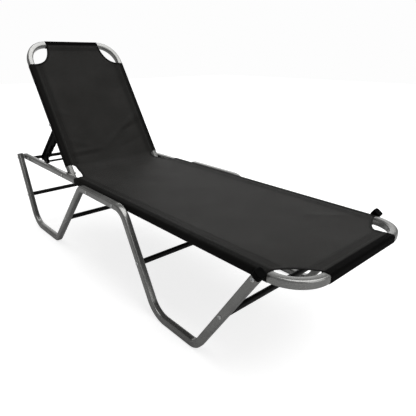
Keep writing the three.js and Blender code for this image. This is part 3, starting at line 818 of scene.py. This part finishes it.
def hardened(piece, width, segments=3):
    """Rounds a piece's sharp edges and keeps the result."""
    bevel = piece.modifiers.new("soft edges", "BEVEL")
    bevel.width = width
    bevel.segments = segments
    bevel.limit_method = "ANGLE"
    bevel.angle_limit = math.radians(40)
    piece.data = shaped(piece)
    piece.modifiers.clear()
    piece.data.shade_smooth()
    piece.data.set_sharp_from_angle(angle=math.radians(35))
    return piece


for side, sign in SIDES:
    low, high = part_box(f"arm_{side}")
    plate = hardened(placed(f"arm_plate_{side}", arm_mesh(low.y, high.y), BLACK_NYLON), 0.7 * MM)
    bosses = [
        boss(t, p, radius, face, out)
        for t, p, radius in ((0, 0, 9.2 * MM), (ROD_T, ROD_P, 8.0 * MM))
        for face, out in ((high.y - 0.05 * MM, 1), (low.y + 0.05 * MM, -1))
    ]
    made = joined(f"adjusting_arm_{side}", [plate.data, *bosses], BLACK_NYLON, 35)
    bpy.data.objects.remove(plate)
    settle(made, "arms", "black_plastic", f"arm_{side}")
print("arm", len(made.data.polygons), "faces")

# %% [markdown]
# ## The cloth's shape
# The bed is one piece of cloth. Its edges are folded round the tubes and sewn back on themselves, so it has
# a sleeve along each rail, round the foot tube and round the backrest's top. Hollow cut-outs leave the
# bends and the hinge bare. It is worked out as a tailor would: rows along the length, each with a half
# width, folded over an outline that goes round a tube and back under the sheet to the hem.

# %% Cloth sizes
THICK = 0.9 * MM
LIFT = HALF + GAP + THICK / 2      # the cloth's middle above a tube's centre line
EDGE = 11 * MM                     # the sleeve begins this far inside a tube's centre
HEM = 44 * MM                      # the folded edge ends this far inside a tube's centre
UNDER = LIFT - 1.15 * MM           # the folded edge's height below the sheet
SEAT_SLEEVE = HINGE.x + 122 * MM   # rear ends of the seat's sleeves
SEAT_CUT_END = FOOT_X - FRAME_BEND
BACK_SLEEVE = 33 * MM
BACK_CUT_START = BACK_TOP - FRAME_BEND - 13 * MM
FOLD_RADIUS = 55 * MM              # how gently the cloth turns up at the hinge


def sleeve_outline():
    """(out from the tube's centre, up) round a tube, from the sheet's edge to the hem's edge."""
    r = CORNER + GAP + THICK / 2
    flat = LIFT - r
    points = [(-EDGE, LIFT), (-7 * MM, LIFT), (-2 * MM, LIFT)]
    for cx, cy, start in ((flat, flat, 90), (flat, -flat, 0), (-flat, -flat, -90)):
        points += arc(cx, cy, r, start, start - 90, 6)
    turn = 2.5 * MM
    points += arc(-LIFT - turn, UNDER - turn, turn, 0, 90, 4)
    points += [(-HEM + (HEM - LIFT - turn) * k / 4, UNDER) for k in (3, 2, 1, 0)]
    return points


OUTLINE = sleeve_outline()
print("sleeve outline of", len(OUTLINE), "points,",
      round(sum(math.dist(a, b) for a, b in zip(OUTLINE, OUTLINE[1:])) / MM), "mm of cloth")

# %% Cut-outs and the fold at the hinge
def hollow(start, end, pull, steps=14):
    """A hollow curve between two places, pulled towards a third."""
    points = []
    for i in range(steps + 1):
        t = i / steps
        points.append(tuple(
            (1 - t) ** 2 * a + 2 * t * (1 - t) * c + t * t * b for a, b, c in zip(start, end, pull)
        ))
    return points


FOOT_HALF = RAIL_Y - FRAME_BEND
TOP_HALF = BACK_Y - FRAME_BEND
foot_cut = hollow((FOOT_X - EDGE, FOOT_HALF), (SEAT_CUT_END, RAIL_Y - EDGE),
                  (SEAT_CUT_END + 22 * MM, FOOT_HALF + 34 * MM))
DEEPER = 30 * MM                   # how much further in the left foot cut-out was trimmed than the right one
# At the hinge the edge drops in steeply from the end of the seat's sleeve, narrows gently to a waist, and
# widens again along the backrest to the end of its sleeve.
WAIST = BACK_Y - 24 * MM
NOTCH = RAIL_Y - 29 * MM
seat_cut = hollow((SEAT_SLEEVE, RAIL_Y - EDGE), (SEAT_SLEEVE - 3 * MM, NOTCH),
                  (SEAT_SLEEVE - 0.3 * MM, NOTCH + 1 * MM), 5)
seat_cut += hollow((SEAT_SLEEVE - 12 * MM, NOTCH - 4 * MM), (HINGE.x + 12 * MM, WAIST),
                   (HINGE.x + 50 * MM, WAIST + 1 * MM), 9)
back_cut = hollow((12 * MM, WAIST), (BACK_SLEEVE, BACK_Y - EDGE), (29 * MM, WAIST), 10)
top_cut = hollow((BACK_CUT_START, BACK_Y - EDGE), (BACK_TOP - EDGE, TOP_HALF),
                 (BACK_CUT_START + 2 * MM, TOP_HALF + 10 * MM))


def left_trim(part, along):
    """How much narrower the cloth is on its left side at a place along it."""
    share = (along - SEAT_CUT_END) / (FOOT_X - EDGE - SEAT_CUT_END)
    return DEEPER * 4 * share * (1 - share) if part == "seat" and 0 < share < 1 else 0.0


fold_reach = FOLD_RADIUS * math.tan(BACK_TILT / 2)
fold_corner = LIFT * math.tan(BACK_TILT / 2)
fold_seat_x = HINGE.x + fold_corner + fold_reach
fold_back_up = fold_corner + fold_reach


def spine(part, along):
    """The cloth's middle line at a place along the seat (x) or the backrest (up): a point and the way out."""
    if part == "seat":
        flat = Vector((along, 0, RAIL_Z + LIFT))
        turned = (fold_seat_x - along) / FOLD_RADIUS
        out = Vector((0, 0, 1))
    else:
        flat = on_back(along, LIFT)
        turned = BACK_TILT - (fold_back_up - along) / FOLD_RADIUS
        out = BACK_OUT
        if turned >= BACK_TILT:
            return flat, out
    if part == "seat" and turned <= 0:
        return flat, out
    turned = min(max(turned, 0.0), BACK_TILT)
    middle = Vector((fold_seat_x, 0, RAIL_Z + LIFT + FOLD_RADIUS))
    out = Vector((math.sin(turned), 0, math.cos(turned)))
    return middle - out * FOLD_RADIUS, out


print("the fold begins", round((fold_seat_x - HINGE.x) / MM), "mm in front of the hinge")

# %% [markdown]
# ## Sag and creases
# Stretched cloth is never quite flat. Between the rails it hangs a few millimetres, it ripples faintly
# along its length, and where it turns up at the hinge its slack gathers in a few soft creases. The sag is
# a smooth hollow worked out from the distance to the sleeves, and each crease is a rounded ridge.

# %% Sag and creases
SEAT_SAG = 7 * MM
BACK_SAG = 6 * MM
RIPPLE = 1.3                       # millimetres
CREASES = [  # part, from (along, y), to (along, y), height, half width; in millimetres
    ("back", (112, 0), (238, 196), 4.2, 13), ("back", (155, 70), (196, 192), -2.9, 10),
    ("back", (86, -186), (92, -60), 3.4, 8), ("back", (66, -188), (72, -70), -2.8, 8),
    ("back", (80, 60), (118, 176), -2.1, 12), ("back", (150, -196), (112, -90), 2.1, 12),
    ("back", (300, -206), (250, -120), 1.4, 14), ("back", (420, 206), (360, 120), -1.4, 15),
    ("seat", (-300, -170), (-330, -40), 1.6, 9), ("seat", (-285, 40), (-318, 185), 1.4, 10),
    ("seat", (700, 210), (600, 120), 1.2, 14), ("seat", (700, -212), (610, -130), 1.2, 14),
]


def dip(part, along, y):
    """How far the sheet lies from its flat place, along its out direction."""
    tube_y = RAIL_Y if part == "seat" else BACK_Y
    across = max(0.0, 1 - (y / (tube_y - EDGE)) ** 2)
    if part == "seat":
        length, start, depth = FOOT_X - EDGE - fold_seat_x, fold_seat_x, SEAT_SAG
    else:
        length, start, depth = BACK_TOP - EDGE - fold_back_up, fold_back_up, BACK_SAG
    run = min(max((along - start) / length, 0.0), 1.0)
    lengthways = 1 - (2 * run - 1) ** 4
    ends = min(1.0, max(0.0, run / 0.02)) * min(1.0, (1 - run) / 0.02)
    ripple = noise.noise(Vector((along * 5.0, y * 9.0, 3.0 if part == "seat" else 8.0))) * RIPPLE * MM
    shift = -depth * across * lengthways + ripple * min(1.0, across * 4) * ends
    for name, start_at, end_at, high, wide in CREASES:
        if name != part:
            continue
        a, b = Vector(start_at) * MM, Vector(end_at) * MM
        here = Vector((along, y))
        line = b - a
        t = (here - a).dot(line) / line.length_squared
        if -0.25 < t < 1.25:
            away = (here - a - line * t).length / (wide * MM)
            fade = max(0.0, 1 - (2 * min(max(t, -0.25), 1.25) - 1) ** 2 / 2.25)
            shift += high * MM * math.exp(-away * away) * fade * min(1.0, across * 6)
    return shift


print("middle of the seat hangs", round(-dip("seat", 0.2, 0.0) / MM, 1), "mm")

# %% [markdown]
# ## Rows and columns
# The sheet is a grid. Rows go from the hem under the foot tube, round it, along the seat, up the backrest and
# round the top tube to the other hem. Columns spread from one edge to the other. Where a row lies on a
# sleeved tube, extra columns go on round the tube. A second map, "cloth", keeps true distances, so the weave
# runs straight and at one size everywhere.

# %% Rows
def span(start, stop, step):
    count = max(1, round(abs(stop - start) / step))
    return [start + (stop - start) * i / count for i in range(1, count)]


rows = []  # (kind, along, half width, sleeved)
rows += [("foot wrap", k, FOOT_HALF, False) for k in range(len(OUTLINE) - 1, -1, -1)]
rows += [("seat", x, y, i == len(foot_cut) - 2) for i, (x, y) in enumerate(foot_cut[1:])]
rows += [("seat", x, RAIL_Y - EDGE, True) for x in span(SEAT_CUT_END, SEAT_SLEEVE, 11 * MM)]
rows += [("seat", x, y, i == 0) for i, (x, y) in enumerate(seat_cut)]
rows += [("back", up, y, i == len(back_cut) - 1) for i, (up, y) in enumerate(back_cut)]
rows += [("back", up, BACK_Y - EDGE, True) for up in span(BACK_SLEEVE, BACK_CUT_START, 7 * MM)]
rows += [("back", up, y, i == 0) for i, (up, y) in enumerate(top_cut[:-1])]
rows += [("top wrap", k, TOP_HALF, False) for k in range(len(OUTLINE))]
print(len(rows), "rows,", sum(r[3] for r in rows), "of them sleeved")

# %% Grid
COLUMNS = 68
# Both are painted shade: a doubled hem's for the light it stops, a sleeve's for the shade on its sides and
# underside.
DOUBLE, SLEEVE_SHADE = 0.3, 0.75         # how dark a doubled hem and a sleeve are, on a scale to 1


def row_point(kind, along, y):
    """The cloth's middle surface at a row and a place across it."""
    if kind == "foot wrap":
        out, up = OUTLINE[along]
        drop = dip("seat", FOOT_X + out, y) if out < -LIFT else 0.0
        return Vector((FOOT_X + out, y, RAIL_Z + up + drop))
    if kind == "top wrap":
        out, up = OUTLINE[along]
        drop = dip("back", BACK_TOP + out, y) if out < -LIFT else 0.0
        return on_back(BACK_TOP + out, up + drop, y)
    point, out = spine(kind, along)
    return point + out * dip(kind, along, y) + Vector((0, y, 0))


def sleeve_point(kind, along, sign, k):
    """A point of the sleeve at a row, k steps round the tube on one side."""
    tube_y = RAIL_Y if kind == "seat" else BACK_Y
    out, up = OUTLINE[k]
    y = sign * (tube_y + out)
    drop = dip(kind, along, y) if out < -LIFT else 0.0
    if kind == "seat":
        return Vector((along, y, RAIL_Z + up + drop))
    return on_back(along, up + drop, y)


def painted_shade_share(kind, along, y, half):
    """How much painted shade the cloth gets: 0 where single, DOUBLE at a hem, 1 where it wraps the foot or top
    tube.
    """
    if "wrap" in kind:
        # Round the tube and under it the wrap is painted full shade.
        return 1.0 if OUTLINE[along][0] > -EDGE + 2 * MM or OUTLINE[along][1] < 0 else DOUBLE
    tube_y, end = (RAIL_Y, FOOT_X) if kind == "seat" else (BACK_Y, BACK_TOP)
    side_in = abs(y) - (tube_y - HEM)
    end_in = along - (end - HEM)
    first, last = (SEAT_SLEEVE, SEAT_CUT_END) if kind == "seat" else (BACK_SLEEVE, BACK_CUT_START)
    sleeved = first <= along <= last
    cut_in = abs(y) - (half - 12 * MM)
    inside = max(side_in if sleeved else -1, end_in, cut_in if not sleeved else -1)
    return DOUBLE * min(1.0, max(0.0, inside / (2 * MM) + 0.5))


points, flats, painted_shade, faces = [], [], [], []
grid, rims = [], {}
run = 0.0
before = None
for kind, along, half, sleeved in rows:
    middle = row_point(kind, along, 0.0)
    run += (middle - before).length if before else 0.0
    before = middle
    ids = []
    left_half = half - left_trim(kind, along)
    for j in range(COLUMNS + 1):
        y = (half if 2 * j < COLUMNS else left_half) * (2 * j / COLUMNS - 1)
        ids.append(len(points))
        points.append(row_point(kind, along, y))
        flats.append((y, run))
        painted_shade.append(painted_shade_share(kind, along, y, half if y < 0 else left_half))
    grid.append(ids)
    if sleeved:
        for sign, first in ((-1, ids[0]), (1, ids[-1])):
            rim, far = [first], abs(flats[first][0])
            for k in range(1, len(OUTLINE)):
                far += math.dist(OUTLINE[k], OUTLINE[k - 1])
                rim.append(len(points))
                points.append(sleeve_point(kind, along, sign, k))
                flats.append((sign * far, run))
                # Each point round a sleeve is painted shade.
                painted_shade.append(SLEEVE_SHADE)
            rims[(len(grid) - 1, sign)] = rim
for i in range(len(grid) - 1):
    for j in range(COLUMNS):
        faces.append((grid[i][j], grid[i][j + 1], grid[i + 1][j + 1], grid[i + 1][j]))
    for sign in (-1, 1):
        here, there = rims.get((i, sign)), rims.get((i + 1, sign))
        if here and there:
            for k in range(len(here) - 1):
                quad = (here[k], here[k + 1], there[k + 1], there[k])
                faces.append(quad if sign > 0 else quad[::-1])
print(len(points), "points,", len(faces), "faces,", round(run, 3), "m of cloth along the middle")

# %% Cloth object
cloth_mesh = bpy.data.meshes.new("stretched_cloth")
cloth_mesh.from_pydata([tuple(p) for p in points], [], faces)
# The painted shade goes on the cloth as its "hem" attribute.
cloth_mesh.attributes.new("hem", "FLOAT", "POINT").data.foreach_set("value", painted_shade)
flat_map = cloth_mesh.uv_layers.new(name="cloth")
for loop in cloth_mesh.loops:
    flat_map.data[loop.index].uv = flats[loop.vertex_index]
cloth = placed("stretched_cloth", cloth_mesh, CLOTH, 80)
wall = cloth.modifiers.new("thickness", "SOLIDIFY")
wall.thickness = THICK
wall.offset = 0
bpy.context.view_layer.update()
cloth.data = shaped(cloth)
cloth.modifiers.clear()

# %% [markdown]
# ## Tape on the cut-outs
# A cut edge of mesh cloth frays, so each cut-out is bound with a folded tape. It is the section tree again
# with a thin flat section, following the cut-out's own curve a few millimetres in from its edge.

# %% Bound edges
TAPE_WIDE, TAPE_THICK = 9 * MM, 2.0 * MM


def on_cloth(part, along, y, above=0.0):
    point, out = spine(part, along)
    return point + out * (dip(part, along, y) + above) + Vector((0, y, 0))


def bound(name, curves):
    """Tape along curves of (part, along, y)."""
    paths = [[on_cloth(part, along, y) for part, along, y in curve] for curve in curves]
    return swept(name, paths, TAPE_WIDE, TAPE_THICK, 0.9 * MM, CLOTH, corner_steps=3)


def mirrored(curve):
    """The curve on the left side, with its deeper trim, and on the right side."""
    left = [(part, along, y - left_trim(part, along)) for part, along, y in curve]
    return [left, [(part, along, -y) for part, along, y in curve]]


def inset(curve, by):
    """The curve moved in towards the middle of the cloth, by its own normal in the sheet."""
    moved = []
    for i, (part, along, y) in enumerate(curve):
        a, b = curve[max(i - 1, 0)], curve[min(i + 1, len(curve) - 1)]
        step = Vector((b[1] - a[1], b[2] - a[2])) if a[0] == b[0] else Vector((1, 0))
        normal = Vector((step.y, -step.x)).normalized()
        if normal.y > 0:
            normal = -normal
        moved.append((part, along + normal.x * by, y + normal.y * by))
    return moved


foot_edge = inset([("seat", x, y) for x, y in foot_cut], 3 * MM)
top_edge = inset([("back", up, y) for up, y in top_cut], 3 * MM)
hinge_edge = [("seat", x, y - 4 * MM) for x, y in seat_cut] + [("back", up, y - 4 * MM) for up, y in back_cut]
foot_tape = bound("foot_cut_tape", mirrored(foot_edge))
top_tape = bound("top_cut_tape", mirrored(top_edge))
hinge_tape = bound("hinge_cut_tape", mirrored(hinge_edge))
print("tape", sum(len(t.data.polygons) for t in (foot_tape, top_tape, hinge_tape)), "faces")

# %% [markdown]
# ## Stitches
# Two rows of lockstitch hold each hem and one row holds each tape; only the foot and top tapes get their row
# here. A stitch shows as a short round bead of thread. This tree cuts a line into equal lengths and sets one
# bead on each piece, turned along the seam.
# Real stitches are 4 mm long; so are these.

# %% Tree: stitches along a line
STITCH = 4 * MM


def stitch_tree():
    tree, given = group("stitches along a line", {
        "Spacing": "Float", "Thread": "Float", "Material": "Material",
    })
    path = add(tree, "GeometryNodeMeshToCurve", {"Mesh": given["Geometry"]})
    even = add(tree, "GeometryNodeResampleCurve", {
        "Curve": path.outputs[0], "Length": given["Spacing"],
    }, mode="LENGTH")
    bead = add(tree, "GeometryNodeMeshUVSphere", {"Segments": 6, "Rings": 4, "Radius": given["Thread"]})
    long = add(tree, "ShaderNodeMath", {0: given["Spacing"], 1: given["Thread"]}, operation="DIVIDE")
    stretch = add(tree, "ShaderNodeMath", {0: long.outputs[0], 1: 0.42}, operation="MULTIPLY")
    shape = add(tree, "ShaderNodeCombineXYZ", {"X": 1.0, "Y": 1.0, "Z": stretch.outputs[0]})
    tangent = add(tree, "GeometryNodeInputTangent")
    turn = add(tree, "FunctionNodeAlignRotationToVector", {"Vector": tangent.outputs[0]}, axis="Z")
    beads = add(tree, "GeometryNodeInstanceOnPoints", {
        "Points": even.outputs[0], "Instance": bead.outputs["Mesh"],
        "Rotation": turn.outputs[0], "Scale": shape.outputs[0],
    })
    return close(tree, beads.outputs[0], given["Material"])


STITCHES = stitch_tree()


def seam(part, start, end, y_start, y_end, step=12 * MM):
    """A straight seam on the cloth as points."""
    count = max(2, round(math.dist((start, y_start), (end, y_end)) / step))
    return [
        on_cloth(part, start + (end - start) * i / count, y_start + (y_end - y_start) * i / count, THICK / 2)
        for i in range(count + 1)
    ]


def stitched(name, paths, body):
    made = grown(name, lines(paths), STITCHES, {"Spacing": STITCH, "Thread": 0.45 * MM, "Material": THREAD})
    return settle(made, body, "mesh_cloth")


HEM_SEAMS = (17 * MM, HEM - 3 * MM)    # how far inside a tube's centre the two rows run
seat_seams, back_seams = [], []
for sign in (1, -1):
    for inward in HEM_SEAMS:
        y = sign * (RAIL_Y - inward)
        seat_seams.append(seam("seat", SEAT_SLEEVE + 2 * MM, SEAT_CUT_END - 2 * MM, y, y))
        y = sign * (BACK_Y - inward)
        back_seams.append(seam("back", BACK_SLEEVE + 2 * MM, BACK_CUT_START - 2 * MM, y, y))
for inward in HEM_SEAMS:
    half = FOOT_HALF - 2 * MM
    seat_seams.append(seam("seat", FOOT_X - inward, FOOT_X - inward, -half, half))
    half = TOP_HALF - 2 * MM
    back_seams.append(seam("back", BACK_TOP - inward, BACK_TOP - inward, -half, half))
for edge, seams in ((foot_edge, seat_seams), (top_edge, back_seams)):
    for curve in mirrored(inset(edge, 2.4 * MM)):
        seams.append([on_cloth(part, along, y, TAPE_THICK / 2) for part, along, y in curve])
seat_stitches = stitched("seat_stitching", seat_seams, "frame")
back_stitches = stitched("backrest_stitching", back_seams, "backrest")
print("stitch faces", len(seat_stitches.data.polygons) + len(back_stitches.data.polygons))

# %% [markdown]
# ## What moves with what
# The cloth crosses the hinge, and so does the tape on the cut-outs there; both stay where they are, tied to
# neither body.
# Everything else on it rides with one side.

# %% Bodies for the cloth
for piece in (cloth, hinge_tape):
    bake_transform(piece)
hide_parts("seat_cloth", "back_cloth")
settle(foot_tape, "frame", "mesh_cloth")
settle(top_tape, "backrest", "mesh_cloth")

# %% [markdown]
# ## Floor and light
# The floor and the sky look almost white to the camera, but light the lounger only a little, so its tubes
# keep their dark sides. A wide sun from above softens the shadow, a broad panel behind the head end puts
# streaks along the tubes, and a small panel at the foot end lights the near bend.

# %% Floor and light
FLOOR = 12                         # half the floor's width, in metres
floor_mesh = bpy.data.meshes.new("floor")
floor_corners = [(x * FLOOR, y * FLOOR, -1 * MM) for x, y in ((-1, -1), (1, -1), (1, 1), (-1, 1))]
floor_mesh.from_pydata(floor_corners, [], [(0, 1, 2, 3)])
floor_finish, floor_tree, floor_shader, _ = finish("pale matt floor", 0.9)
floor_shader.inputs["Base Color"].default_value = linear("#b8b8b8")
floor_shader.inputs["Emission Color"].default_value = linear("#ffffff")
in_sight = add(floor_tree, "ShaderNodeLightPath").outputs["Is Camera Ray"]
floor_tree.links.new(spread(floor_tree, in_sight, 0.05, 0.75), floor_shader.inputs["Emission Strength"])
floor = placed("floor", floor_mesh, floor_finish)

world = bpy.data.worlds.new("pale studio")
bpy.context.scene.world = world
world.use_nodes = True
sky = world.node_tree
sky.nodes["Background"].inputs["Color"].default_value = linear("#fdfdfd")
in_sight = add(sky, "ShaderNodeLightPath").outputs["Is Camera Ray"]
sky.links.new(spread(sky, in_sight, 0.28, 1.0), sky.nodes["Background"].inputs["Strength"])
bpy.context.scene.view_settings.view_transform = "Standard"


def soft_light(name, kind, place, power, **shape):
    """A light at a place, aimed at the middle of the lounger."""
    data = bpy.data.lights.new(name, kind)
    data.energy = power
    for setting, value in shape.items():
        setattr(data, setting, value)
    light = bpy.data.objects.new(name, data)
    light.location = place
    light.visible_camera = False
    light.rotation_euler = (Vector((0, 0, 0.3)) - Vector(place)).to_track_quat("-Z", "Y").to_euler()
    bpy.context.scene.collection.objects.link(light)


soft_light("overhead", "SUN", (0.5, 0.7, 3.0), 2.1, angle=math.radians(55))
soft_light("backdrop", "AREA", (-2.4, 2.6, 1.4), 40, shape="RECTANGLE", size=5.0, size_y=2.6)
soft_light("front", "AREA", (3.2, 0.2, 1.6), 22, shape="SQUARE", size=2.0)
